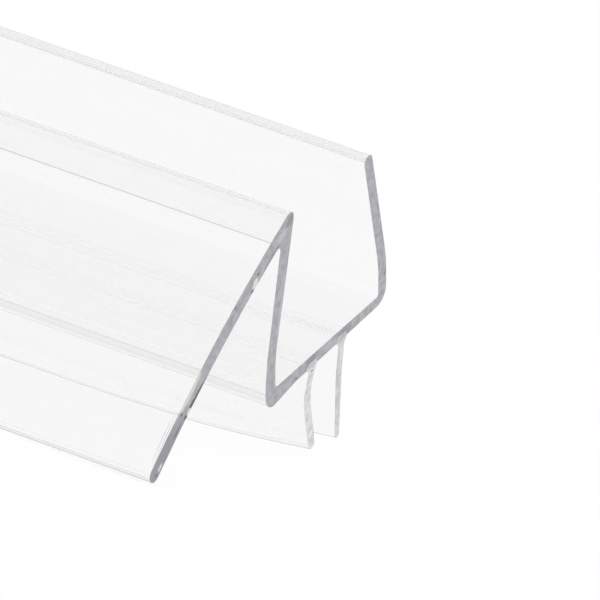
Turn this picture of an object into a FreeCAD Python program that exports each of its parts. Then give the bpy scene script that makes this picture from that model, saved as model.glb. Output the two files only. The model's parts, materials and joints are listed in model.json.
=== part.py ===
"""A shower door bottom seal strip for 10 mm glass, in a door-width length.

One rigid clear extrusion makes the clip channel and the drip rail: a thin web, two legs that lean
in and spring onto the glass, and a rail that falls outwards from the top of the front leg.
Two soft clear wiper fins hang under the web, and a keyed foot bonds each one into its underside.
The section is drawn in the glass frame: x runs across the slot from its middle, z runs up along the
glass from the underside of the web. The strip is then turned to lie as it rests on a floor, on the
lip of its drip rail and the lip of its front fin.
"""

import FreeCAD
import Part
import math
import os
from dataclasses import dataclass

# Strip
strip_length = 610.0

# Clip channel, measured in the slot
slot_width = 11.45
web_front_thickness = 0.88
web_back_thickness = 0.68
leg_bend_radius = 7.0
slot_corner_radius = 0.25

# Back leg
back_leg_thickness = 0.88
back_leg_lean_deg = 11.2
back_leg_bend_height = 3.0
back_leg_length = 8.5
back_heel_radius = 1.05
back_lip_radius = 0.43

# Front leg, with its thick heel
front_leg_foot_thickness = 0.92
front_leg_head_thickness = 1.2
front_leg_lean_deg = 13.0
front_leg_bend_height = 2.9
heel_overhang = 0.155
heel_drop = 0.28
heel_height = 1.6
heel_run = 2.4
heel_radius = 0.95

# Drip rail
rail_height = 10.95
rail_thickness = 1.1
rail_root_drop_deg = 27.5
rail_end_drop_deg = 38.5
rail_root_straight_length = 0.45
rail_end_straight_length = 1.75
rail_bow_radius = 74.0
crest_radius = 0.58
crotch_radius = 0.28

# Keyed feet of the fins
fin_spacing = 3.3
key_width = 1.2
key_crown = 0.84
key_depth = 0.34

# The fins lean towards the rail, and spring upright over the last stretch at each cut end
fin_lean = 2.3
fin_curl_length = 16.0
fin_curl_stations = 6


@dataclass(frozen=True)
class Fin:
    """One fin's section, upright: its place, its length, and its thickness from root to lip."""

    root_x: float
    length: float
    belly_depth: float
    belly_bulge: float
    belly_radius: float
    lip_offset: float
    root_depth: float
    root_radius: float
    root_thickness: float
    belly_thickness: float
    lip_thickness: float


front_fin = Fin(
    root_x=-fin_spacing / 2,
    length=5.85,
    belly_depth=1.7,
    belly_bulge=0.66,
    belly_radius=3.4,
    lip_offset=0.08,
    root_depth=0.3,
    root_radius=0.3,
    root_thickness=0.66,
    belly_thickness=0.74,
    lip_thickness=0.66,
)
back_fin = Fin(
    root_x=fin_spacing / 2,
    length=6.75,
    belly_depth=2.3,
    belly_bulge=0.32,
    belly_radius=8.0,
    lip_offset=0.52,
    root_depth=0.3,
    root_radius=0.3,
    root_thickness=0.62,
    belly_thickness=0.64,
    lip_thickness=0.47,
)


def polar(length, degrees):
    """A step of this length in the section plane, at this angle above +x."""
    angle = math.radians(degrees)
    return length * math.cos(angle), length * math.sin(angle)


def moved(point, step, times=1.0):
    """The point, moved by a number of steps."""
    return point[0] + step[0] * times, point[1] + step[1] * times


def between(start, end):
    """The step from one point to another."""
    return end[0] - start[0], end[1] - start[1]


def meeting(point_a, step_a, point_b, step_b):
    """Where the line through point_a along step_a meets the line through point_b along step_b."""
    cross = step_a[0] * step_b[1] - step_a[1] * step_b[0]
    gap = between(point_a, point_b)
    times = (gap[0] * step_b[1] - gap[1] * step_b[0]) / cross
    return moved(point_a, step_a, times)


def at(point, y):
    """A section point as a vector at this place along the strip."""
    return FreeCAD.Vector(point[0], y, point[1])


def rounded_wire(corners, y):
    """A closed wire of straight runs and tangent arcs, from (x, z, radius) corners in order."""
    points = [at(corner, y) for corner in corners]
    ends = []
    for i, corner in enumerate(corners):
        here = points[i]
        before = (points[i - 1] - here).normalize()
        after = (points[(i + 1) % len(points)] - here).normalize()
        radius = corner[2]
        if radius == 0:
            ends.append((here, None, here))
            continue
        half = before.getAngle(after) / 2
        back_off = radius / math.tan(half)
        inward = (before + after).normalize()
        middle = here + inward * (radius / math.sin(half) - radius)
        ends.append((here + before * back_off, middle, here + after * back_off))
    edges = []
    for i, (start, middle, end) in enumerate(ends):
        if middle is not None:
            edges.append(Part.Arc(start, middle, end).toShape())
        following = ends[(i + 1) % len(ends)][0]
        if end.distanceToPoint(following) > 1e-7:
            edges.append(Part.makeLine(end, following))
    return Part.Wire(edges)


def extruded(wire, length):
    """The wire's area, drawn out along the strip."""
    return Part.Face(wire).extrude(FreeCAD.Vector(0, length, 0))


def seat_height():
    """The height of the web's flat top, on which the glass stands."""
    return (web_front_thickness + web_back_thickness) / 2


def under_web(x):
    """A point on the web's underside, which rises a little towards the back leg."""
    return x, (web_front_thickness - web_back_thickness) * x / slot_width


def rail_lines():
    """The rail's root, its bow corner and its end, all on its centre line."""
    bow_turn_deg = rail_end_drop_deg - rail_root_drop_deg
    bow_reach = rail_bow_radius * math.tan(math.radians(bow_turn_deg / 2))
    root = (-slot_width / 2, rail_height)
    bow = moved(root, polar(rail_root_straight_length + bow_reach, 180 + rail_root_drop_deg))
    end = moved(bow, polar(rail_end_straight_length + bow_reach, 180 + rail_end_drop_deg))
    return root, bow, end


def rail_lip():
    """The centre and radius of the round lip that ends the drip rail."""
    _, _, end = rail_lines()
    radius = rail_thickness / 2
    return moved(end, polar(-radius, 180 + rail_end_drop_deg)), radius


def body_outline():
    """The rigid section, corner by corner, from the back leg's lip round to the slot."""
    inside = slot_width / 2
    back_lean = polar(1.0, 90 + back_leg_lean_deg)
    front_lean = polar(1.0, 90 - front_leg_lean_deg)
    back_inner_bend = (inside, back_leg_bend_height)
    back_bend_rise = back_leg_thickness * math.tan(math.radians(back_leg_lean_deg / 2))
    back_outer_bend = moved(back_inner_bend, (back_leg_thickness, back_bend_rise))
    back_lip_inner = moved(back_inner_bend, back_lean, back_leg_length)
    back_lip_outer = moved(back_lip_inner, polar(back_leg_thickness, back_leg_lean_deg))

    root, bow, end = rail_lines()
    root_run = polar(1.0, 180 + rail_root_drop_deg)
    end_run = polar(1.0, 180 + rail_end_drop_deg)
    root_side = polar(rail_thickness / 2, 90 + rail_root_drop_deg)
    end_side = polar(rail_thickness / 2, 90 + rail_end_drop_deg)
    bow_top = meeting(moved(root, root_side), root_run, moved(end, end_side), end_run)
    bow_under = meeting(moved(root, root_side, -1), root_run, moved(end, end_side, -1), end_run)
    lip_radius = rail_thickness * 0.499

    front_inner_bend = (-inside, front_leg_bend_height)
    crest = meeting(moved(root, root_side), root_run, front_inner_bend, front_lean)
    front_foot = moved(front_inner_bend, polar(-front_leg_foot_thickness, -front_leg_lean_deg))
    inner_head = (crest[0] - front_leg_head_thickness, crest[1])
    crotch = meeting(moved(root, root_side, -1), root_run, front_foot, between(front_foot, inner_head))

    heel_x = -inside - front_leg_foot_thickness - heel_overhang
    heel_bottom = under_web(heel_x)[1] - heel_drop
    return [
        (*back_lip_inner, back_lip_radius),
        (*back_lip_outer, back_lip_radius),
        (*back_outer_bend, leg_bend_radius + back_leg_thickness),
        (*under_web(inside + back_leg_thickness), back_heel_radius),
        (*under_web(heel_x + heel_radius + heel_run), 0),
        (heel_x + heel_radius, heel_bottom, 0),
        (heel_x, heel_bottom, heel_radius * 0.999),
        (heel_x, heel_height, 0),
        (*front_foot, 0),
        (*crotch, crotch_radius),
        (*bow_under, rail_bow_radius - rail_thickness / 2),
        (*moved(end, end_side, -1), lip_radius),
        (*moved(end, end_side), lip_radius),
        (*bow_top, rail_bow_radius + rail_thickness / 2),
        (*crest, crest_radius),
        (*front_inner_bend, leg_bend_radius),
        (-inside, seat_height(), slot_corner_radius),
        (inside, seat_height(), slot_corner_radius),
        (*back_inner_bend, leg_bend_radius),
    ]


def key_outline(fin):
    """The keyed foot that bonds a fin into the web: wide at the underside, narrower inside."""
    left, right = fin.root_x - key_width / 2, fin.root_x + key_width / 2
    crown_left, crown_right = fin.root_x - key_crown / 2, fin.root_x + key_crown / 2
    return [
        (*under_web(left), 0),
        (*moved(under_web(crown_left), (0, key_depth)), 0),
        (*moved(under_web(crown_right), (0, key_depth)), 0),
        (*under_web(right), 0),
    ]


def fin_centres(fin, lean):
    """The fin's belly corner and the centre of its round lip, with the lip swung over by lean."""
    fall = fin.length - fin.lip_thickness / 2
    swung = fin.lip_offset + lean
    lip_depth = math.sqrt(fall**2 - swung**2 + fin.lip_offset**2)
    share = fin.belly_depth / fall
    root_z = under_web(fin.root_x)[1]
    belly = (fin.root_x - fin.belly_bulge - lean * share**1.5, root_z - fin.belly_depth)
    return belly, (fin.root_x - swung, root_z - lip_depth)


def fin_outline(fin, lean):
    """One fin's section with its keyed foot, for a lip that is swung over by lean."""
    belly, lip = fin_centres(fin, lean)
    last_run = between(belly, lip)
    down = math.degrees(math.atan2(last_run[1], last_run[0]))
    tip = moved(lip, polar(fin.lip_thickness / 2, down))
    across = polar(1.0, down + 90)
    root = moved(under_web(fin.root_x), (0, -fin.root_depth))
    root_side = (fin.root_thickness / 2, 0)
    lip_radius = fin.lip_thickness * 0.499
    return [
        *key_outline(fin),
        (*moved(root, root_side), fin.root_radius),
        (*moved(belly, across, fin.belly_thickness / 2), fin.belly_radius),
        (*moved(tip, across, fin.lip_thickness / 2), lip_radius),
        (*moved(tip, across, -fin.lip_thickness / 2), lip_radius),
        (*moved(belly, across, -fin.belly_thickness / 2), fin.belly_radius),
        (*moved(root, root_side, -1), fin.root_radius),
    ]


def rigid_body():
    """The clip channel and drip rail, with the two grooves that the fins are keyed into."""
    body = extruded(rounded_wire(body_outline(), 0), strip_length)
    for fin in (front_fin, back_fin):
        body = body.cut(extruded(rounded_wire(key_outline(fin), 0), strip_length))
    return body


def wiper_fin(fin):
    """One soft fin: a straight leaning run, and a lofted curl at each cut end."""
    wires = []
    for i in range(fin_curl_stations + 1):
        share = i / fin_curl_stations
        lean = fin_lean * math.sin(math.pi / 2 * share)
        wires.append(rounded_wire(fin_outline(fin, lean), fin_curl_length * share))
    near_curl = Part.makeLoft(wires, True, False)
    far_curl = near_curl.mirror(FreeCAD.Vector(0, strip_length / 2, 0), FreeCAD.Vector(0, 1, 0))
    run = extruded(wires[-1], strip_length - 2 * fin_curl_length)
    return near_curl.fuse([run, far_curl]).removeSplitter()


def resting_turn_deg():
    """How far the section turns so that the rail's lip and the front fin's lip touch one floor."""
    rail_centre, rail_radius = rail_lip()
    _, fin_centre = fin_centres(front_fin, fin_lean)
    across, rise = between(rail_centre, fin_centre)
    skew = math.asin((rail_radius - front_fin.lip_thickness / 2) / math.hypot(across, rise))
    return math.degrees(math.atan2(-rise, across) - skew)


def at_rest(shapes):
    """The shapes turned onto the floor, with the origin at the bottom centre of their box."""
    middle = FreeCAD.Vector(0, -strip_length / 2, 0)
    turned = {}
    for name, shape in shapes.items():
        turned[name] = shape.translated(middle).rotated(
            FreeCAD.Vector(0, 0, 0), FreeCAD.Vector(0, 1, 0), -resting_turn_deg()
        )
    box = Part.makeCompound(list(turned.values())).optimalBoundingBox(False, False)
    shift = FreeCAD.Vector(-box.Center.x, 0, -box.ZMin)
    return {name: shape.translated(shift) for name, shape in turned.items()}, shift


def main():
    """Builds each piece and writes it to parts/."""
    os.makedirs("parts", exist_ok=True)
    pieces = {
        "clip_and_drip_rail": rigid_body(),
        "front_wiper_fin": wiper_fin(front_fin),
        "back_wiper_fin": wiper_fin(back_fin),
    }
    pieces, shift = at_rest(pieces)
    for name, shape in pieces.items():
        shape.exportStep(f"parts/{name}.step")
        box = shape.BoundBox
        print(f"{name}: {len(shape.Solids)} solid, {shape.Volume:.1f} mm3, valid {shape.isValid()}")
        print(f"  {box.XMin:.2f}..{box.XMax:.2f}, {box.YMin:.2f}..{box.YMax:.2f}, {box.ZMin:.2f}..{box.ZMax:.2f}")
    print(f"resting turn {resting_turn_deg():.3f} degrees, shift {shift.x:.3f}, {shift.z:.3f}")


main()
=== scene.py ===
"""The visual model of a clear seal strip for the bottom edge of a glass shower door.

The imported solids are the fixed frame. Three pieces stand for them at the same places: the rigid clip
channel with its drip rail, and the two soft wiper fins keyed into the web's underside. The burr that the
saw left on the rail is added to them. Each piece is modelled in millimetres in the glass frame, with x
across the slot from its middle, z up along the glass from the underside of the web, and y along the
strip from the sawn end that the camera sees. It is then placed as it rests on the floor.
"""

import json
import logging
import math
from dataclasses import dataclass
from enum import Enum
from typing import ClassVar

import bmesh
import bpy
from mathutils import Matrix, Vector


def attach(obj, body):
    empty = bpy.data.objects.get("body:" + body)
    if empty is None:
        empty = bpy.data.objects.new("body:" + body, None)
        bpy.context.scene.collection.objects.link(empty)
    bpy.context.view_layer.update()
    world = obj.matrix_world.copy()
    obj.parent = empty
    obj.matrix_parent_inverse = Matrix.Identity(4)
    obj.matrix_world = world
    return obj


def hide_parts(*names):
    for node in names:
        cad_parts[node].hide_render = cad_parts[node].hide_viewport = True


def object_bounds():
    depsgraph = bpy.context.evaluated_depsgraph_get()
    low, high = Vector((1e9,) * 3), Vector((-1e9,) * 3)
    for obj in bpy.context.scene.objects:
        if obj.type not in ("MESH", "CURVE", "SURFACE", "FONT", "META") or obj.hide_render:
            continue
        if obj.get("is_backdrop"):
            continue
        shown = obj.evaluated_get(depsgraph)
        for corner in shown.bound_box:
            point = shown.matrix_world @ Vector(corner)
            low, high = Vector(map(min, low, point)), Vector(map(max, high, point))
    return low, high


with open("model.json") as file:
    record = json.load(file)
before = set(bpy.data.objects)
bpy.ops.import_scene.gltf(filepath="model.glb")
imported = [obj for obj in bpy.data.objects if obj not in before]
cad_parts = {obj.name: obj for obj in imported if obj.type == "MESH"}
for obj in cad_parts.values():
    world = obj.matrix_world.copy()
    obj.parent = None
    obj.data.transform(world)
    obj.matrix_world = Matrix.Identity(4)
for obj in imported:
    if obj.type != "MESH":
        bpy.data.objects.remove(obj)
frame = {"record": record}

log = logging.getLogger("seal_strip")

MM = 0.001
SHARP_EDGE = math.radians(28)
# How squarely a face looks along the strip, on a cut face and on its broken rim.
CUT_SLANT = 0.99
RIM_SLANT = 0.5
# In millimetres: the broken edge's width, the slack for finding an edge, and how deep a mark goes.
EDGE_BREAK = 0.07
SKIN_GAP = 0.02
MARK_REACH = 40.0
# How near a round end comes to its full arc, so that the arcs beside it never meet.
LIP_ROUND = 0.998
HEEL_ROUND = 0.999
Point = tuple[float, float]
Colour = tuple[float, float, float]
Level = float | bpy.types.NodeSocket
Paint = Colour | bpy.types.NodeSocket


class Slot(Enum):
    """The record's material slots."""

    RIGID = "clear_rigid"
    SOFT = "clear_soft"


class Skin(Enum):
    """The finishes that each piece has, in the order of its material slots."""

    DRAWN = 0
    SAWN = 1
    RIM = 2

    @classmethod
    def of(cls, slant: float) -> "Skin":
        """The skin of a face, by how squarely it faces along the strip.

        Args:
            slant: The size of the face normal's part along the strip.

        Returns:
            The skin.
        """
        if slant > CUT_SLANT:
            return cls.SAWN
        return cls.RIM if slant > RIM_SLANT else cls.DRAWN


def polar(length: float, degrees: float) -> Point:
    """A step of this length in the section, at this angle above +x."""
    angle = math.radians(degrees)
    return length * math.cos(angle), length * math.sin(angle)


def moved(point: Point, step: Point, times: float = 1.0) -> Point:
    """The point, moved by a number of steps."""
    return point[0] + step[0] * times, point[1] + step[1] * times


def meeting(point_a: Point, step_a: Point, point_b: Point, step_b: Point) -> Point:
    """Where two lines of the section meet.

    Args:
        point_a: A point on the first line.
        step_a: The first line's direction.
        point_b: A point on the second line.
        step_b: The second line's direction.

    Returns:
        The meeting point.
    """
    cross = step_a[0] * step_b[1] - step_a[1] * step_b[0]
    gap = (point_b[0] - point_a[0], point_b[1] - point_a[1])
    return moved(point_a, step_a, (gap[0] * step_b[1] - gap[1] * step_b[0]) / cross)


@dataclass(frozen=True)
class GlassFrame:
    """How the glass frame, in millimetres, lies in the row frame, in metres."""

    turn: float
    origin: Vector
    length: float

    @classmethod
    def at_rest(cls, record: dict, seat_height: float) -> "GlassFrame":
        """Reads the strip's resting place from its glass seat mount.

        Args:
            record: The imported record.
            seat_height: The height of the seat above the web's underside, in millimetres.

        Returns:
            The glass frame of the strip as it lies.
        """
        seat = next(mount for mount in record["mounts"] if mount["name"] == "glass_seat")
        across, _, up = seat["axis"]
        lowest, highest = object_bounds()
        origin = Vector(seat["pos_m"]) - Vector(seat["axis"]) * seat_height * MM
        origin.y = lowest.y
        return cls(math.atan2(-across, up), origin, (highest.y - lowest.y) / MM)

    def matrix(self) -> Matrix:
        """The transform from the glass frame to the row frame."""
        turned = Matrix.Rotation(-self.turn, 4, "Y")
        return Matrix.Translation(self.origin) @ turned @ Matrix.Scale(MM, 4)


@dataclass(frozen=True)
class Corner:
    """One corner of a section, with the radius and the number of segments of its arc."""

    x: float
    z: float
    radius: float = 0.0
    segments: int = 8

    def split(self, before: "Corner", after: "Corner", parts: int) -> list["Corner"]:
        """Shares a long shallow arc among several corners, so that the bevels follow a true circle.

        Args:
            before: The corner before this one.
            after: The corner after this one.
            parts: How many corners share the arc.

        Returns:
            The corners, in order.
        """
        here = Vector((self.x, self.z))
        back = (Vector((before.x, before.z)) - here).normalized()
        ahead = (Vector((after.x, after.z)) - here).normalized()
        half = back.angle(ahead) / 2
        centre = here + (back + ahead).normalized() * self.radius / math.sin(half)
        start = here + back * self.radius / math.tan(half) - centre
        share = (math.pi - 2 * half) / parts
        way = math.copysign(1.0, back.cross(ahead))
        corners = []
        for i in range(parts):
            spoke = start.copy()
            spoke.rotate(Matrix.Rotation(way * -share * (i + 0.5), 2))
            place = centre + spoke / math.cos(share / 2)
            corners.append(Corner(place.x, place.y, self.radius, self.segments))
        return corners


def draw_section(bm: bmesh.types.BMesh, corners: list[Corner], y: float) -> list[bmesh.types.BMEdge]:
    """Draws one closed section: a face on its corners, each of them rounded by a vertex bevel.

    Args:
        bm: The mesh that gets the section.
        corners: The section's corners in order.
        y: The section's place along the strip.

    Returns:
        The edges of the section's outline.
    """
    known = set(bm.edges)
    verts = [bm.verts.new((corner.x, y, corner.z)) for corner in corners]
    bm.faces.new(verts)
    for corner, vert in zip(corners, verts):
        if corner.radius == 0:
            continue
        back, ahead = (edge.other_vert(vert).co - vert.co for edge in vert.link_edges)
        bmesh.ops.bevel(
            bm,
            geom=[vert],
            offset=corner.radius / math.tan(back.angle(ahead) / 2),
            offset_type="OFFSET",
            segments=corner.segments,
            profile=0.5,
            affect="VERTICES",
            clamp_overlap=False,
            material=-1,
        )
    return [edge for edge in bm.edges if edge not in known]


@dataclass
class StripPiece:
    """A length of drawn plastic: what every piece of the strip is."""

    lie: GlassFrame

    name: ClassVar[str] = "strip_piece"
    node: ClassVar[str] = ""
    slot: ClassVar[Slot] = Slot.RIGID

    def shape(self, bm: bmesh.types.BMesh) -> None:
        """Makes the piece's mesh in the glass frame."""
        raise NotImplementedError

    def broken(self, edge: bmesh.types.BMEdge) -> bool:
        """Whether the saw broke this edge of a cut face."""
        return True

    def break_edges(self, bm: bmesh.types.BMesh) -> None:
        """Takes the sharp rim off both cut faces.

        Args:
            bm: The piece's mesh in the glass frame.
        """
        cuts = [face for face in bm.faces if abs(face.normal.y) > CUT_SLANT]
        rims = {edge for face in cuts for edge in face.edges if self.broken(edge)}
        bmesh.ops.bevel(
            bm,
            geom=list(rims),
            offset=EDGE_BREAK,
            offset_type="OFFSET",
            segments=1,
            profile=0.5,
            affect="EDGES",
            clamp_overlap=True,
            material=-1,
        )

    def build(self, finishes: dict[Skin, bpy.types.Material]) -> bpy.types.Object:
        """Makes the piece, dresses it and hands it to the frame.

        Args:
            finishes: The material of each skin.

        Returns:
            The finished object.
        """
        bm = bmesh.new()
        self.shape(bm)
        bmesh.ops.recalc_face_normals(bm, faces=bm.faces)
        self.break_edges(bm)
        for face in bm.faces:
            face.material_index = Skin.of(abs(face.normal.y)).value
            face.smooth = True
        for edge in bm.edges:
            edge.smooth = edge.calc_face_angle(0.0) < SHARP_EDGE
        bmesh.ops.transform(bm, matrix=self.lie.matrix(), verts=bm.verts)
        mesh = bpy.data.meshes.new(self.name)
        bm.to_mesh(mesh)
        bm.free()
        for skin in Skin:
            mesh.materials.append(finishes[skin])
        piece = bpy.data.objects.new(self.name, mesh)
        bpy.context.scene.collection.objects.link(piece)
        flats = piece.modifiers.new("flats_stay_flat", "WEIGHTED_NORMAL")
        flats.keep_sharp = True
        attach(piece, "root")
        if self.node:
            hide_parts(self.node)
        log.info("%s: %d faces", self.name, len(mesh.polygons))
        return piece


@dataclass(frozen=True)
class Key:
    """The foot by which a fin is held in the web: wide at the underside, narrower inside."""

    x: float
    width: float = 1.2
    crown: float = 0.84
    depth: float = 0.34

    def corners(self, web: "Web", ease: float = 0.0) -> list[Corner]:
        """The key's corners from left to right, over the crown.

        Args:
            web: The web whose underside the key stands in.
            ease: How far the key's sides and crown stand back from the groove's.

        Returns:
            The four corners.
        """
        half, crown, depth = self.width / 2 - ease, self.crown / 2 - ease, self.depth - ease
        return [
            Corner(*web.under(self.x - half)),
            Corner(*moved(web.under(self.x - crown), (0, depth))),
            Corner(*moved(web.under(self.x + crown), (0, depth))),
            Corner(*web.under(self.x + half)),
        ]


@dataclass(frozen=True)
class Web:
    """The floor of the clip channel, on which the glass stands."""

    slot_width: float = 11.45
    front_thickness: float = 0.88
    back_thickness: float = 0.68
    corner_radius: float = 0.25

    @property
    def seat(self) -> float:
        """The height of the flat that the glass stands on."""
        return (self.front_thickness + self.back_thickness) / 2

    @property
    def inside(self) -> float:
        """Half the width of the slot."""
        return self.slot_width / 2

    def under(self, x: float) -> Point:
        """The point of the underside at x. It rises a little towards the back leg."""
        return x, (self.front_thickness - self.back_thickness) * x / self.slot_width


@dataclass
class ClipAndDripRail(StripPiece):
    """The rigid extrusion: a web, two legs that lean in onto the glass, and the bowed drip rail."""

    web: Web = Web()
    keys: tuple[Key, ...] = ()
    bend_radius: float = 7.0
    back_thickness: float = 0.88
    back_lean_deg: float = 11.2
    back_bend_height: float = 3.0
    back_length: float = 8.5
    back_heel_radius: float = 1.05
    back_lip_radius: float = 0.43
    foot_thickness: float = 0.92
    head_thickness: float = 1.2
    front_lean_deg: float = 13.0
    front_bend_height: float = 2.9
    heel_overhang: float = 0.155
    heel_drop: float = 0.28
    heel_height: float = 1.6
    heel_run: float = 2.4
    heel_radius: float = 0.95
    heel_fade_radius: float = 3.0
    heel_top_radius: float = 1.2
    foot_radius: float = 6.0
    rail_height: float = 10.95
    rail_thickness: float = 1.1
    rail_root_drop_deg: float = 27.5
    rail_end_drop_deg: float = 38.5
    rail_root_straight: float = 0.45
    rail_end_straight: float = 1.75
    rail_bow_radius: float = 74.0
    bow_parts: int = 4
    crest_radius: float = 0.58
    crotch_radius: float = 0.28
    lip_segments: int = 12

    name = "clip_and_drip_rail_drawn"
    node = "clip_and_drip_rail"
    slot = Slot.RIGID

    def rail_line(self) -> tuple[Point, Point, Point]:
        """Finds the drip rail's centre line.

        Returns:
            Its root, its bow corner and its end.
        """
        turn = math.radians(self.rail_end_drop_deg - self.rail_root_drop_deg)
        reach = self.rail_bow_radius * math.tan(turn / 2)
        root = (-self.web.inside, self.rail_height)
        bow = moved(root, polar(self.rail_root_straight + reach, 180 + self.rail_root_drop_deg))
        end = moved(bow, polar(self.rail_end_straight + reach, 180 + self.rail_end_drop_deg))
        return root, bow, end

    def back_leg(self) -> list[Corner]:
        """The back leg's lip and outside.

        Returns:
            Their corners, from the lip's inner edge down to the heel.
        """
        bend = (self.web.inside, self.back_bend_height)
        inner = moved(bend, polar(self.back_length, 90 + self.back_lean_deg))
        rise = self.back_thickness * math.tan(math.radians(self.back_lean_deg / 2))
        outer = moved(inner, polar(self.back_thickness, self.back_lean_deg))
        return [
            Corner(*inner, self.back_lip_radius, self.lip_segments),
            Corner(*outer, self.back_lip_radius, self.lip_segments),
            Corner(
                self.web.inside + self.back_thickness,
                self.back_bend_height + rise,
                self.bend_radius + self.back_thickness,
            ),
            Corner(*self.web.under(self.web.inside + self.back_thickness), self.back_heel_radius, 14),
        ]

    def underside(self) -> list[Corner]:
        """The web's underside with its grooves, and the thick heel of the front leg.

        Returns:
            Their corners, from the back to the front.
        """
        grooves = [corner for key in self.keys for corner in reversed(key.corners(self.web))]
        heel_x = -self.web.inside - self.foot_thickness - self.heel_overhang
        heel_bottom = self.web.under(heel_x)[1] - self.heel_drop
        return [
            *grooves,
            Corner(*self.web.under(heel_x + self.heel_radius + self.heel_run), self.heel_fade_radius, 6),
            Corner(heel_x + self.heel_radius, heel_bottom),
            Corner(heel_x, heel_bottom, self.heel_radius * HEEL_ROUND, 14),
            Corner(heel_x, self.heel_height, self.heel_top_radius, 6),
        ]

    def rail(self) -> list[Corner]:
        """The front leg's outside, and the drip rail from the crotch round its lip to the crest.

        Returns:
            Their corners in that order.
        """
        root, bow, end = self.rail_line()
        root_run = polar(1.0, 180 + self.rail_root_drop_deg)
        end_run = polar(1.0, 180 + self.rail_end_drop_deg)
        root_side = polar(self.rail_thickness / 2, 90 + self.rail_root_drop_deg)
        end_side = polar(self.rail_thickness / 2, 90 + self.rail_end_drop_deg)
        lean = polar(1.0, 90 - self.front_lean_deg)
        inner_bend = (-self.web.inside, self.front_bend_height)
        foot = moved(inner_bend, polar(-self.foot_thickness, -self.front_lean_deg))
        crest = meeting(moved(root, root_side), root_run, inner_bend, lean)
        head = (crest[0] - self.head_thickness, crest[1])
        outside = (head[0] - foot[0], head[1] - foot[1])
        crotch = meeting(moved(root, root_side, -1), root_run, foot, outside)
        bow_under = meeting(moved(root, root_side, -1), root_run, moved(end, end_side, -1), end_run)
        bow_top = meeting(moved(root, root_side), root_run, moved(end, end_side), end_run)
        half = self.rail_thickness / 2
        lip_radius = half * LIP_ROUND
        under_end = Corner(*moved(end, end_side, -1), lip_radius, self.lip_segments)
        top_end = Corner(*moved(end, end_side), lip_radius, self.lip_segments)
        crotch_corner = Corner(*crotch, self.crotch_radius, 10)
        crest_corner = Corner(*crest, self.crest_radius, 16)
        under = Corner(*bow_under, self.rail_bow_radius - half, 4)
        top = Corner(*bow_top, self.rail_bow_radius + half, 4)
        return [
            Corner(*foot, self.foot_radius, 6),
            crotch_corner,
            *under.split(crotch_corner, under_end, self.bow_parts),
            under_end,
            top_end,
            *top.split(top_end, crest_corner, self.bow_parts),
            crest_corner,
        ]

    def slot_sides(self) -> list[Corner]:
        """The slot that the glass stands in.

        Returns:
            Its corners, from the front leg's bend to the back leg's.
        """
        return [
            Corner(-self.web.inside, self.front_bend_height, self.bend_radius),
            Corner(-self.web.inside, self.web.seat, self.web.corner_radius, 8),
            Corner(self.web.inside, self.web.seat, self.web.corner_radius, 8),
            Corner(self.web.inside, self.back_bend_height, self.bend_radius),
        ]

    def shape(self, bm: bmesh.types.BMesh) -> None:
        """Draws the section out along the strip.

        Args:
            bm: The mesh that gets it.
        """
        draw_section(bm, [*self.back_leg(), *self.underside(), *self.rail(), *self.slot_sides()], 0.0)
        drawn = bmesh.ops.extrude_face_region(bm, geom=bm.faces[:], use_keep_orig=True)["geom"]
        far_end = [item for item in drawn if isinstance(item, bmesh.types.BMVert)]
        bmesh.ops.translate(bm, vec=(0.0, self.lie.length, 0.0), verts=far_end)

    def broken(self, edge: bmesh.types.BMEdge) -> bool:
        """Every edge but those of the two grooves, where the fins' keys fill the face.

        Args:
            edge: An edge of a cut face.

        Returns:
            Whether the saw broke it.
        """
        middle = (edge.verts[0].co + edge.verts[1].co) / 2
        inside = middle.z < max(key.depth for key in self.keys) + SKIN_GAP
        return not (inside and any(abs(middle.x - key.x) < key.width / 2 + SKIN_GAP for key in self.keys))


@dataclass
class SawBurr(StripPiece):
    """A hair of plastic that the saw left hanging off the rail's upper edge, close to its lip."""

    start: Point = (-16.6, 5.12)
    end: Point = (-19.05, 2.95)
    bow: float = 0.1
    thickness: float = 0.05
    width: float = 0.16
    tip_share: float = 0.35
    parts: int = 14

    name = "rail_saw_burr"
    slot = Slot.RIGID

    def shape(self, bm: bmesh.types.BMesh) -> None:
        """Draws the hair's small section out along its bow, thinner towards both tips.

        Args:
            bm: The mesh that gets it.
        """
        run = (self.end[0] - self.start[0], self.end[1] - self.start[1])
        side = Vector((run[1], -run[0])).normalized()
        previous: list[bmesh.types.BMEdge] = []
        for part in range(self.parts + 1):
            share = part / self.parts
            swell = math.sin(math.pi * share)
            middle = moved(moved(self.start, run, share), tuple(side), self.bow * swell)
            half = self.thickness / 2 * (self.tip_share + (1 - self.tip_share) * swell)
            corners = [
                (*moved(middle, tuple(side), half), 0.0),
                (*moved(middle, tuple(side), -half), 0.0),
                (*moved(middle, tuple(side), -half), self.width),
                (*moved(middle, tuple(side), half), self.width),
            ]
            face = bm.faces.new([bm.verts.new((x, y, z)) for x, z, y in corners])
            outline = list(face.edges)
            if 0 < part < self.parts:
                bmesh.ops.delete(bm, geom=[face], context="FACES_ONLY")
            if previous:
                bmesh.ops.bridge_loops(bm, edges=previous + outline)
            previous = outline

    def broken(self, edge: bmesh.types.BMEdge) -> bool:
        """None: the hair is too thin."""
        return False


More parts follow.
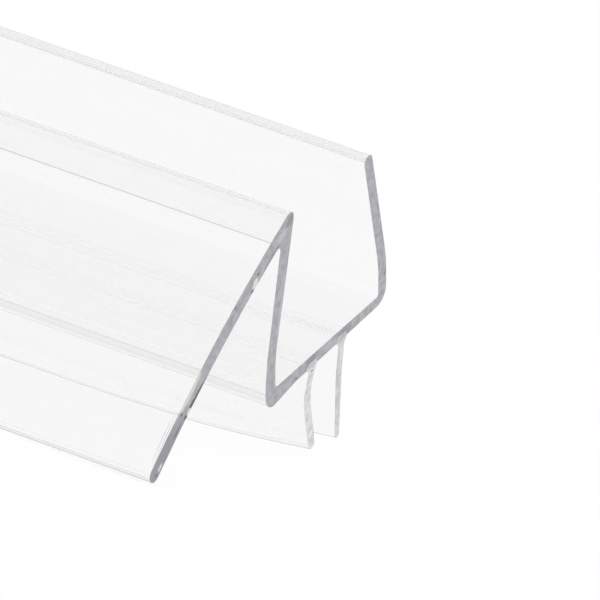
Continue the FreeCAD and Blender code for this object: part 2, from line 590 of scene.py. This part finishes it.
@dataclass
class WiperFin(StripPiece):
    """One soft fin. It leans towards the rail, and springs upright over the last stretch at each end."""

    web: Web = Web()
    key: Key = Key(0.0)
    fall: float = 5.85
    belly_depth: float = 1.7
    belly_bulge: float = 0.66
    belly_radius: float = 3.4
    lip_offset: float = 0.08
    root_depth: float = 0.3
    root_radius: float = 0.3
    root_thickness: float = 0.66
    belly_thickness: float = 0.74
    lip_thickness: float = 0.66
    lean: float = 2.3
    lean_growth: float = 1.5
    curl_length: float = 16.0
    curl_stations: int = 12
    key_ease: float = -0.006

    slot = Slot.SOFT

    def section(self, lean: float) -> list[Corner]:
        """The fin's section.

        Args:
            lean: How far the lip is swung towards the rail.

        Returns:
            Its corners in order, from the key round the lip.
        """
        reach = self.fall - self.lip_thickness / 2
        swung = self.lip_offset + lean
        lip_depth = math.sqrt(reach**2 - swung**2 + self.lip_offset**2)
        root_z = self.web.under(self.key.x)[1]
        drift = lean * (self.belly_depth / reach) ** self.lean_growth
        belly = (self.key.x - self.belly_bulge - drift, root_z - self.belly_depth)
        lip = (self.key.x - swung, root_z - lip_depth)
        down = math.degrees(math.atan2(lip[1] - belly[1], lip[0] - belly[0]))
        tip = moved(lip, polar(self.lip_thickness / 2, down))
        across = polar(1.0, down + 90)
        root = (self.key.x, root_z - self.root_depth)
        lip_radius = self.lip_thickness / 2 * LIP_ROUND
        return [
            *self.key.corners(self.web, self.key_ease),
            Corner(*moved(root, (self.root_thickness / 2, 0)), self.root_radius, 8),
            Corner(*moved(belly, across, self.belly_thickness / 2), self.belly_radius, 12),
            Corner(*moved(tip, across, self.lip_thickness / 2), lip_radius, 10),
            Corner(*moved(tip, across, -self.lip_thickness / 2), lip_radius, 10),
            Corner(*moved(belly, across, -self.belly_thickness / 2), self.belly_radius, 12),
            Corner(*moved(root, (-self.root_thickness / 2, 0)), self.root_radius, 8),
        ]

    def shape(self, bm: bmesh.types.BMesh) -> None:
        """Bridges the fin's sections along the strip, close together where it curls at each end.

        Args:
            bm: The mesh that gets it.
        """
        curl = [i / self.curl_stations for i in range(self.curl_stations + 1)]
        stations = [(share * self.curl_length, share) for share in curl]
        stations += [(self.lie.length - y, share) for y, share in reversed(stations)]
        previous: list[bmesh.types.BMEdge] = []
        for place, (y, share) in enumerate(stations):
            outline = draw_section(bm, self.section(self.lean * math.sin(math.pi / 2 * share)), y)
            if 0 < place < len(stations) - 1:
                bmesh.ops.delete(bm, geom=outline[0].link_faces[:], context="FACES_ONLY")
            if previous:
                bmesh.ops.bridge_loops(bm, edges=previous + outline)
            previous = outline

    def broken(self, edge: bmesh.types.BMEdge) -> bool:
        """Every edge below the web: the key's own edges are bonded in."""
        return all(vert.co.z < self.web.under(vert.co.x)[1] - SKIN_GAP for vert in edge.verts)


@dataclass
class FrontWiperFin(WiperFin):
    """The front fin, bellied and thicker, which the strip rests on."""

    name = "front_wiper_fin_drawn"
    node = "front_wiper_fin"


@dataclass
class BackWiperFin(WiperFin):
    """The back fin, longer, straighter and tapering to its lip."""

    fall: float = 6.75
    belly_depth: float = 2.3
    belly_bulge: float = 0.32
    belly_radius: float = 8.0
    lip_offset: float = 0.52
    root_thickness: float = 0.62
    belly_thickness: float = 0.64
    lip_thickness: float = 0.47

    name = "back_wiper_fin_drawn"
    node = "back_wiper_fin"


class NodeBoard:
    """A material's nodes, with short calls to add and join them."""

    def __init__(self, name: str, lie: GlassFrame) -> None:
        """Starts an empty material whose patterns are placed in the glass frame.

        Args:
            name: The material's name.
            lie: How the glass frame lies.
        """
        self.material = bpy.data.materials.new(name)
        self.material.use_nodes = True
        self.tree = self.material.node_tree
        self.tree.nodes.clear()
        self.output = self.tree.nodes.new("ShaderNodeOutputMaterial")
        place = self.tree.nodes.new("ShaderNodeTexCoord")
        self.section = self.add("ShaderNodeMapping", vector_type="TEXTURE", Vector=place.outputs["Object"])
        self.section.inputs["Location"].default_value = lie.origin
        self.section.inputs["Rotation"].default_value = (0.0, -lie.turn, 0.0)
        self.section.inputs["Scale"].default_value = (MM, MM, MM)

    def add(self, kind: str, **settings: object) -> bpy.types.Node:
        """Adds a node.

        Args:
            kind: The node's type.
            settings: Its own properties by name, and its inputs by name, each a value or an output to link.

        Returns:
            The node.
        """
        node = self.tree.nodes.new(kind)
        for key, value in settings.items():
            label = key.replace("_", " ")
            if hasattr(node, key) and key not in node.inputs:
                setattr(node, key, value)
            elif isinstance(value, bpy.types.NodeSocket):
                self.tree.links.new(value, node.inputs[label if label in node.inputs else key])
            else:
                node.inputs[label if label in node.inputs else key].default_value = value
        return node

    def stretched(self, scale: tuple[float, float, float]) -> bpy.types.NodeSocket:
        """The glass frame's coordinates, multiplied on each axis.

        Args:
            scale: The three factors.

        Returns:
            The coordinates.
        """
        mapping = self.add("ShaderNodeMapping", Vector=self.section.outputs["Vector"])
        mapping.inputs["Scale"].default_value = scale
        return mapping.outputs["Vector"]

    def noise(self, scale: tuple[float, float, float], detail: float = 2.0) -> bpy.types.NodeSocket:
        """Noise with this many cells a millimetre along each axis."""
        pattern = self.add("ShaderNodeTexNoise", Vector=self.stretched(scale), Scale=1.0, Detail=detail)
        return pattern.outputs["Fac"]

    def ragged(self, cells: float, reach: float) -> bpy.types.NodeSocket:
        """The glass frame's coordinates, shaken so that what is drawn with them gets a torn outline.

        Args:
            cells: How many tears there are in a millimetre.
            reach: How far the shake goes, in millimetres.

        Returns:
            The shaken coordinates.
        """
        shake = self.add("ShaderNodeTexNoise", Vector=self.section.outputs["Vector"], Scale=cells, Detail=3.0)
        centred = self.add("ShaderNodeVectorMath", operation="SUBTRACT")
        self.tree.links.new(shake.outputs["Color"], centred.inputs[0])
        centred.inputs[1].default_value = (0.5, 0.5, 0.5)
        spread = self.add("ShaderNodeVectorMath", operation="MULTIPLY_ADD")
        self.tree.links.new(centred.outputs["Vector"], spread.inputs[0])
        spread.inputs[1].default_value = (2 * reach, 0.0, 2 * reach)
        self.tree.links.new(self.section.outputs["Vector"], spread.inputs[2])
        return spread.outputs["Vector"]

    def spot(self, mark: "CutMark", place: bpy.types.NodeSocket) -> bpy.types.NodeSocket:
        """How strongly a mark shows: most at its middle, and nothing past its rim.

        Args:
            mark: The mark.
            place: The coordinates that it is drawn with.

        Returns:
            Its strength.
        """
        patch = self.add("ShaderNodeMapping", vector_type="TEXTURE", Vector=place)
        patch.inputs["Location"].default_value = (mark.x, 0.0, mark.z)
        patch.inputs["Rotation"].default_value = (0.0, -math.radians(mark.turn_deg), 0.0)
        patch.inputs["Scale"].default_value = (mark.length / 2, MARK_REACH, mark.width / 2)
        ball = self.add("ShaderNodeTexGradient", gradient_type="SPHERICAL", Vector=patch.outputs["Vector"])
        return self.ranged(ball.outputs["Fac"], 0.0, mark.softness, 0.0, mark.strength)

    def blended(self, share: Level, under: Paint, over: Paint) -> bpy.types.NodeSocket:
        """One colour laid over another.

        Args:
            share: How much of the upper colour shows.
            under: The lower colour, or the socket that carries it.
            over: The upper colour, or the socket that carries it.

        Returns:
            The blend's colour.
        """
        blend = self.add("ShaderNodeMix", data_type="RGBA")
        for socket, value in ((blend.inputs[0], share), (blend.inputs[6], under), (blend.inputs[7], over)):
            if isinstance(value, bpy.types.NodeSocket):
                self.tree.links.new(value, socket)
            else:
                socket.default_value = value if isinstance(value, float) else (*value, 1.0)
        return blend.outputs[2]

    def ranged(
        self, value: bpy.types.NodeSocket, low: float, high: float, start: float, end: float
    ) -> bpy.types.NodeSocket:
        """Turns one range of a value into another, and holds it there.

        Args:
            value: The socket that carries the value.
            low: The lower end of its range.
            high: The upper end of its range.
            start: What the lower end becomes.
            end: What the upper end becomes.

        Returns:
            The socket that carries the result.
        """
        node = self.add("ShaderNodeMapRange", Value=value)
        for name, number in zip(("From Min", "From Max", "To Min", "To Max"), (low, high, start, end)):
            node.inputs[name].default_value = number
        return node.outputs["Result"]


@dataclass(frozen=True)
class ClearFinish:
    """Clear plastic as it leaves the die: smooth, a little tinted, with faint lines along it."""

    name: str
    tint: Colour
    ior: float
    roughness: float
    roughness_spread: float
    absorbed: Colour
    absorption: float
    line_depth: float
    line_cells: tuple[float, float, float] = (9.0, 0.004, 9.0)
    handling_cells: tuple[float, float, float] = (0.35, 0.05, 0.35)
    handling_range: tuple[float, float] = (0.3, 0.7)

    def build(self, lie: GlassFrame) -> bpy.types.Material:
        """The finish as a material.

        Args:
            lie: How the glass frame lies.

        Returns:
            The material.
        """
        board = NodeBoard(self.name, lie)
        die_lines = board.noise(self.line_cells, 3.0)
        handling = board.noise(self.handling_cells, 4.0)
        roughest = self.roughness + self.roughness_spread
        rough = board.ranged(handling, *self.handling_range, self.roughness, roughest)
        bump = board.add("ShaderNodeBump", Height=die_lines, Strength=1.0, Distance=self.line_depth * MM)
        normal = bump.outputs["Normal"]
        shader = board.add("ShaderNodeBsdfPrincipled", Roughness=rough, IOR=self.ior, Normal=normal)
        shader.inputs["Base Color"].default_value = (*self.tint, 1.0)
        shader.inputs["Transmission Weight"].default_value = 1.0
        depth = board.add("ShaderNodeVolumeAbsorption", Density=self.absorption)
        depth.inputs["Color"].default_value = (*self.absorbed, 1.0)
        board.tree.links.new(shader.outputs["BSDF"], board.output.inputs["Surface"])
        board.tree.links.new(depth.outputs["Volume"], board.output.inputs["Volume"])
        return board.material


@dataclass(frozen=True)
class CutMark:
    """A chip, speck or smear on the near cut face, or a patch of painted shade or painted highlight, as an
    ellipse in the section.
    """

    x: float
    z: float
    length: float
    width: float
    turn_deg: float
    colour: Colour
    strength: float = 0.9
    softness: float = 0.5


@dataclass(frozen=True)
class SawnFinish:
    """A saw-cut face of clear plastic: frosted and mottled, with the marks that the saw left and patches of
    painted shade and painted highlight.
    """

    name: str
    pale: Colour
    dark: Colour
    grit: Colour
    grit_share: float
    roughness: float
    grain_depth: float
    marks: tuple[CutMark, ...] = ()
    mottle_cells: float = 2.2
    mottle_range: tuple[float, float] = (0.38, 0.62)
    grit_cells: float = 15.0
    grit_range: tuple[float, float] = (0.4, 0.65)
    grain_cells: float = 26.0
    tear_cells: float = 5.0
    tear_reach: float = 0.14

    def build(self, lie: GlassFrame) -> bpy.types.Material:
        """The finish as a material.

        Args:
            lie: How the glass frame lies.

        Returns:
            The material.
        """
        board = NodeBoard(self.name, lie)
        mottle = board.noise((self.mottle_cells, 1.0, self.mottle_cells), 5.0)
        grain = board.noise((self.grain_cells, 1.0, self.grain_cells), 2.0)
        specks = board.noise((self.grit_cells, 1.0, self.grit_cells), 1.0)
        paleness = board.ranged(mottle, *self.mottle_range, 0.0, 1.0)
        grittiness = board.ranged(specks, *self.grit_range, 0.0, self.grit_share)
        colour = board.blended(grittiness, board.blended(paleness, self.dark, self.pale), self.grit)
        place = board.ragged(self.tear_cells, self.tear_reach)
        # Lays the marks over the mottle: chips, specks and smears, and patches of painted shade and painted
        # highlight.
        for mark in self.marks:
            colour = board.blended(board.spot(mark, place), colour, mark.colour)
        bump = board.add("ShaderNodeBump", Height=grain, Strength=1.0, Distance=self.grain_depth * MM)
        normal = bump.outputs["Normal"]
        shader = board.add("ShaderNodeBsdfPrincipled", Roughness=self.roughness, Normal=normal)
        board.tree.links.new(colour, shader.inputs["Base Color"])
        board.tree.links.new(shader.outputs["BSDF"], board.output.inputs["Surface"])
        return board.material


# Painted highlight: the colour of the paler patches on the rigid cut face.
PAINTED_HIGHLIGHT = (0.53, 0.53, 0.575)
CHIP = (0.78, 0.78, 0.8)
BEIGE = (0.72, 0.7, 0.65)
# Painted shade: the colour of the darker patches on the rigid cut face.
PAINTED_SHADE = (0.27, 0.27, 0.29)
SPECK = (0.09, 0.09, 0.1)

RIGID_MARKS_AND_PAINTED_LIGHT = (
    # Painted shade: the rail's cut face darker towards its lip, and a thin darker line along the rail.
    CutMark(-18.0, 2.9, 6.4, 3.0, 38.0, PAINTED_SHADE, 0.75, 0.7),
    CutMark(-10.2, 8.6, 5.0, 0.5, 31.0, PAINTED_SHADE, 0.4, 0.8),
    # Painted shade and highlight: the front leg's cut face darker along its outer edge, paler along its inner
    # edge, and darker near the crest.
    CutMark(-6.72, 6.2, 8.2, 0.62, 81.0, PAINTED_SHADE, 0.8, 0.6),
    CutMark(-5.2, 5.6, 7.4, 0.5, 79.0, PAINTED_HIGHLIGHT, 0.7, 0.8),
    CutMark(-5.9, 10.35, 2.4, 0.6, 30.0, PAINTED_SHADE, 0.7, 0.7),
    # Painted highlight: the back leg's cut face paler at its bend and along its upper outer edge, and the web
    # paler in its middle.
    CutMark(6.75, 3.3, 2.4, 1.2, 95.0, PAINTED_HIGHLIGHT, 0.7, 0.8),
    CutMark(5.3, 11.0, 3.0, 0.5, 101.0, PAINTED_HIGHLIGHT, 0.4, 0.8),
    CutMark(0.2, 0.45, 1.7, 1.0, 1.0, PAINTED_HIGHLIGHT, 0.6, 0.8),
    # Painted shade: the web's cut face darker over the two grooves.
    CutMark(-1.75, 0.55, 1.9, 1.2, 0.0, PAINTED_SHADE, 0.75, 0.7),
    CutMark(1.9, 0.55, 1.7, 1.2, 0.0, PAINTED_SHADE, 0.7, 0.7),
    # Painted shade and highlight: a darker and a paler patch at the crest.
    CutMark(-4.15, 11.75, 1.3, 0.62, 40.0, PAINTED_SHADE, 0.95, 0.5),
    CutMark(-4.95, 11.15, 1.5, 0.66, 28.0, PAINTED_HIGHLIGHT, 0.95, 0.4),
    # Chips, specks and a beige sliver.
    CutMark(-7.91, 9.43, 0.85, 0.62, 60.0, CHIP, 0.95, 0.3),
    CutMark(-8.24, 9.05, 0.34, 0.26, 20.0, SPECK),
    CutMark(-7.59, 9.93, 0.26, 0.22, 0.0, SPECK),
    CutMark(-10.11, 8.93, 0.26, 0.22, 40.0, SPECK),
    CutMark(-10.44, 8.93, 0.22, 0.2, 0.0, SPECK),
    CutMark(-15.04, 5.78, 3.5, 0.66, 35.5, BEIGE, 0.95, 0.3),
    CutMark(-14.5, 5.06, 3.8, 0.6, 30.5, SPECK, 0.95, 0.5),
    CutMark(-15.24, 4.56, 0.7, 0.5, 30.0, CHIP, 0.9, 0.5),
    CutMark(-15.57, 4.33, 0.42, 0.34, 0.0, SPECK, 1.0),
    CutMark(-16.01, 4.82, 0.36, 0.3, 50.0, SPECK, 1.0),
    CutMark(-16.5, 3.9, 1.6, 0.24, 38.0, SPECK, 0.7),
    CutMark(-18.4, 2.4, 0.7, 0.4, 40.0, CHIP, 0.8, 0.5),
    CutMark(-18.82, 2.07, 0.26, 0.22, 0.0, SPECK),
    CutMark(-3.44, 0.12, 0.3, 0.2, 0.0, SPECK),
    CutMark(-5.54, 0.75, 0.26, 0.2, 40.0, SPECK, 0.8),
    CutMark(6.45, 2.1, 0.5, 0.2, 60.0, SPECK, 0.8),
)
SOFT_MARKS = (
    CutMark(-1.68, -0.32, 0.3, 0.2, 0.0, SPECK),
    CutMark(-1.5, 0.1, 0.36, 0.26, 0.0, CHIP),
    # Darker along the front fin's edge, over the whole back fin's cut face, and at both fins' roots.
    CutMark(-1.5, -4.56, 1.4, 0.24, 88.0, SPECK, 0.7, 0.6),
    CutMark(1.3, -3.4, 9.0, 2.2, 86.0, (0.5, 0.5, 0.52), 0.4, 0.8),
    CutMark(1.65, 0.15, 1.5, 0.7, 10.0, (0.42, 0.45, 0.42), 0.75, 0.6),
    CutMark(-1.65, 0.15, 1.5, 0.7, 0.0, (0.45, 0.45, 0.48), 0.6, 0.6),
)


def glow(tree: bpy.types.NodeTree, other: float, through: Level, direct: float) -> bpy.types.NodeSocket:
    """A brightness that depends on how a thing is seen.

    Args:
        tree: The node tree that asks.
        other: The brightness for the light that it sheds on matt surfaces.
        through: The brightness as seen in a reflection or through clear plastic, or its socket.
        direct: The brightness as the camera sees it directly.

    Returns:
        The socket that carries it.
    """
    path = tree.nodes.new("ShaderNodeLightPath")
    seen = {"Is Glossy Ray": through, "Is Transmission Ray": through, "Is Camera Ray": direct}
    level: bpy.types.NodeSocket | None = None
    for kind, target in seen.items():
        chosen = tree.nodes.new("ShaderNodeMix")
        chosen.inputs["A"].default_value = other
        if isinstance(target, bpy.types.NodeSocket):
            tree.links.new(target, chosen.inputs["B"])
        else:
            chosen.inputs["B"].default_value = target
        tree.links.new(path.outputs[kind], chosen.inputs["Factor"])
        if level is not None:
            tree.links.new(level, chosen.inputs["A"])
        level = chosen.outputs["Result"]
    return level


@dataclass(frozen=True)
class Studio:
    """The pale floor, the soft light and the camera."""

    target: tuple[float, float, float] = (1.48, -305.0, 10.26)
    azimuth_deg: float = -63.15
    elevation_deg: float = 11.93
    roll_deg: float = 13.46
    distance: float = 1245.0
    lens: float = 1265.7
    sensor: float = 36.0
    clip: tuple[float, float] = (0.02, 60.0)
    floor_size: float = 12.0
    floor_albedo: float = 0.18
    floor_glow: tuple[float, float, float] = (0.62, 0.765, 0.82)
    room_glow: float = 0.955
    flag_way: tuple[float, float, float] = (0.35, 0.57, 0.74)
    flag_glow: float = 0.64
    flag_rim: float = 0.78
    flag_core: float = 0.93
    lamp_way: tuple[float, float, float] = (0.5, -0.6, 0.75)
    lamp_distance: float = 1.6
    lamp_size: float = 1.0
    lamp_glow: float = 1.0
    bounces: int = 96

    def camera(self) -> None:
        """Stands the camera where the photograph was taken from."""
        data = bpy.data.cameras.new("photo_camera")
        data.lens = self.lens
        data.sensor_width = self.sensor
        data.clip_start, data.clip_end = self.clip
        camera = bpy.data.objects.new("photo_camera", data)
        bpy.context.scene.collection.objects.link(camera)
        azimuth, elevation = math.radians(self.azimuth_deg), math.radians(self.elevation_deg)
        roll = math.radians(self.roll_deg)
        flat = math.cos(elevation)
        back = Vector((math.sin(azimuth) * flat, -math.cos(azimuth) * flat, math.sin(elevation)))
        level = Vector((math.cos(azimuth), math.sin(azimuth), 0.0))
        upright = back.cross(level)
        right = level * math.cos(roll) + upright * math.sin(roll)
        up = back.cross(right)
        place = Vector(self.target) * MM + back * self.distance * MM
        camera.matrix_world = Matrix.Translation(place) @ Matrix((right, up, back)).transposed().to_4x4()
        bpy.context.scene.camera = camera

    def floor(self) -> None:
        """Lays the pale floor. It glows to the camera and through glass, and keeps its shadows."""
        bm = bmesh.new()
        bmesh.ops.create_grid(bm, x_segments=1, y_segments=1, size=self.floor_size / 2)
        mesh = bpy.data.meshes.new("floor")
        bm.to_mesh(mesh)
        bm.free()
        floor = bpy.data.objects.new("floor", mesh)
        bpy.context.scene.collection.objects.link(floor)
        material = bpy.data.materials.new("pale_floor")
        material.use_nodes = True
        tree = material.node_tree
        tree.nodes.clear()
        paint = tree.nodes.new("ShaderNodeBsdfDiffuse")
        paint.inputs["Color"].default_value = (self.floor_albedo,) * 3 + (1.0,)
        shine = tree.nodes.new("ShaderNodeEmission")
        both = tree.nodes.new("ShaderNodeAddShader")
        output = tree.nodes.new("ShaderNodeOutputMaterial")
        tree.links.new(glow(tree, *self.floor_glow), shine.inputs["Strength"])
        tree.links.new(paint.outputs[0], both.inputs[0])
        tree.links.new(shine.outputs[0], both.inputs[1])
        tree.links.new(both.outputs[0], output.inputs["Surface"])
        floor.data.materials.append(material)
        floor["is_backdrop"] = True

    def room(self) -> None:
        """Sets a pale room with a grey flag high up behind the strip."""
        world = bpy.data.worlds.new("studio")
        bpy.context.scene.world = world
        world.use_nodes = True
        tree = world.node_tree
        background = tree.nodes["Background"]
        way = tree.nodes.new("ShaderNodeTexCoord")
        nearness = tree.nodes.new("ShaderNodeVectorMath")
        nearness.operation = "DOT_PRODUCT"
        nearness.inputs[1].default_value = Vector(self.flag_way).normalized()
        tree.links.new(way.outputs["Generated"], nearness.inputs[0])
        level = tree.nodes.new("ShaderNodeMapRange")
        level.interpolation_type = "SMOOTHSTEP"
        tree.links.new(nearness.outputs["Value"], level.inputs["Value"])
        level.inputs["From Min"].default_value = self.flag_rim
        level.inputs["From Max"].default_value = self.flag_core
        level.inputs["To Min"].default_value = self.room_glow
        level.inputs["To Max"].default_value = self.flag_glow
        strength = glow(tree, self.room_glow, level.outputs["Result"], 1.0)
        tree.links.new(strength, background.inputs["Strength"])
        background.inputs["Color"].default_value = (1.0, 1.0, 1.0, 1.0)

    def softbox(self) -> None:
        """Hangs one square softbox that faces the strip's near end."""
        lamp = bpy.data.lights.new("key_softbox", "AREA")
        lamp.shape = "SQUARE"
        lamp.size = self.lamp_size
        lamp.energy = self.lamp_glow * math.pi * self.lamp_size**2
        way = Vector(self.lamp_way)
        stand = bpy.data.objects.new("key_softbox", lamp)
        stand.location = Vector(self.target) * MM + way.normalized() * self.lamp_distance
        stand.rotation_mode = "QUATERNION"
        stand.rotation_quaternion = (-way).to_track_quat("-Z", "Y")
        bpy.context.scene.collection.objects.link(stand)

    def build(self) -> None:
        """Sets the whole stage, and the plain view of its colours."""
        self.camera()
        self.floor()
        self.room()
        self.softbox()
        scene = bpy.context.scene
        scene.view_settings.view_transform = "Standard"
        scene.cycles.max_bounces = self.bounces
        scene.cycles.transmission_bounces = self.bounces
        scene.cycles.glossy_bounces = self.bounces
        scene.cycles.blur_glossy = 0.0


def rigid_finishes(lie: GlassFrame) -> dict[Skin, bpy.types.Material]:
    """The finishes of the rigid clear plastic.

    Args:
        lie: How the glass frame lies.

    Returns:
        The material of each skin.
    """
    return {
        Skin.DRAWN: ClearFinish(
            name="clear_rigid_drawn",
            tint=(1.0, 1.0, 1.0),
            ior=1.415,
            roughness=0.002,
            roughness_spread=0.004,
            absorbed=(0.72, 0.72, 0.73),
            absorption=17.0,
            line_depth=0.00001,
        ).build(lie),
        Skin.SAWN: SawnFinish(
            name="clear_rigid_sawn",
            pale=(0.55, 0.55, 0.59),
            dark=(0.4, 0.4, 0.43),
            grit=(0.18, 0.18, 0.2),
            grit_share=0.5,
            roughness=0.5,
            grain_depth=0.02,
            marks=RIGID_MARKS_AND_PAINTED_LIGHT,
        ).build(lie),
        Skin.RIM: SawnFinish(
            name="clear_rigid_rim",
            pale=(0.42, 0.42, 0.45),
            dark=(0.14, 0.14, 0.155),
            grit=(0.7, 0.7, 0.74),
            grit_share=0.35,
            roughness=0.45,
            grain_depth=0.02,
            marks=RIGID_MARKS_AND_PAINTED_LIGHT,
        ).build(lie),
    }


def soft_finishes(lie: GlassFrame) -> dict[Skin, bpy.types.Material]:
    """The finishes of the soft clear plastic.

    Args:
        lie: How the glass frame lies.

    Returns:
        The material of each skin.
    """
    return {
        Skin.DRAWN: ClearFinish(
            name="clear_soft_drawn",
            tint=(0.99, 0.992, 0.99),
            ior=1.415,
            roughness=0.2,
            roughness_spread=0.08,
            absorbed=(0.72, 0.73, 0.72),
            absorption=14.0,
            line_depth=0.0001,
        ).build(lie),
        Skin.SAWN: SawnFinish(
            name="clear_soft_sawn",
            pale=(0.9, 0.91, 0.92),
            dark=(0.66, 0.67, 0.69),
            grit=(0.4, 0.4, 0.42),
            grit_share=0.3,
            roughness=0.5,
            grain_depth=0.02,
            marks=SOFT_MARKS,
        ).build(lie),
        Skin.RIM: SawnFinish(
            name="clear_soft_rim",
            pale=(0.62, 0.62, 0.65),
            dark=(0.3, 0.3, 0.32),
            grit=(0.8, 0.8, 0.82),
            grit_share=0.3,
            roughness=0.45,
            grain_depth=0.02,
        ).build(lie),
    }


def main() -> None:
    """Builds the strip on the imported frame, and the studio round it."""
    logging.basicConfig(level=logging.INFO, format="%(name)s: %(message)s")
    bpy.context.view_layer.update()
    web = Web()
    lie = GlassFrame.at_rest(frame["record"], web.seat)
    front_key, back_key = Key(-1.65), Key(1.65)
    rigid, soft = rigid_finishes(lie), soft_finishes(lie)
    ClipAndDripRail(lie, web, (back_key, front_key)).build(rigid)
    FrontWiperFin(lie, web, front_key).build(soft)
    BackWiperFin(lie, web, back_key).build(soft)
    SawBurr(lie).build(rigid)
    Studio().build()


if __name__ == "__main__":
    main()
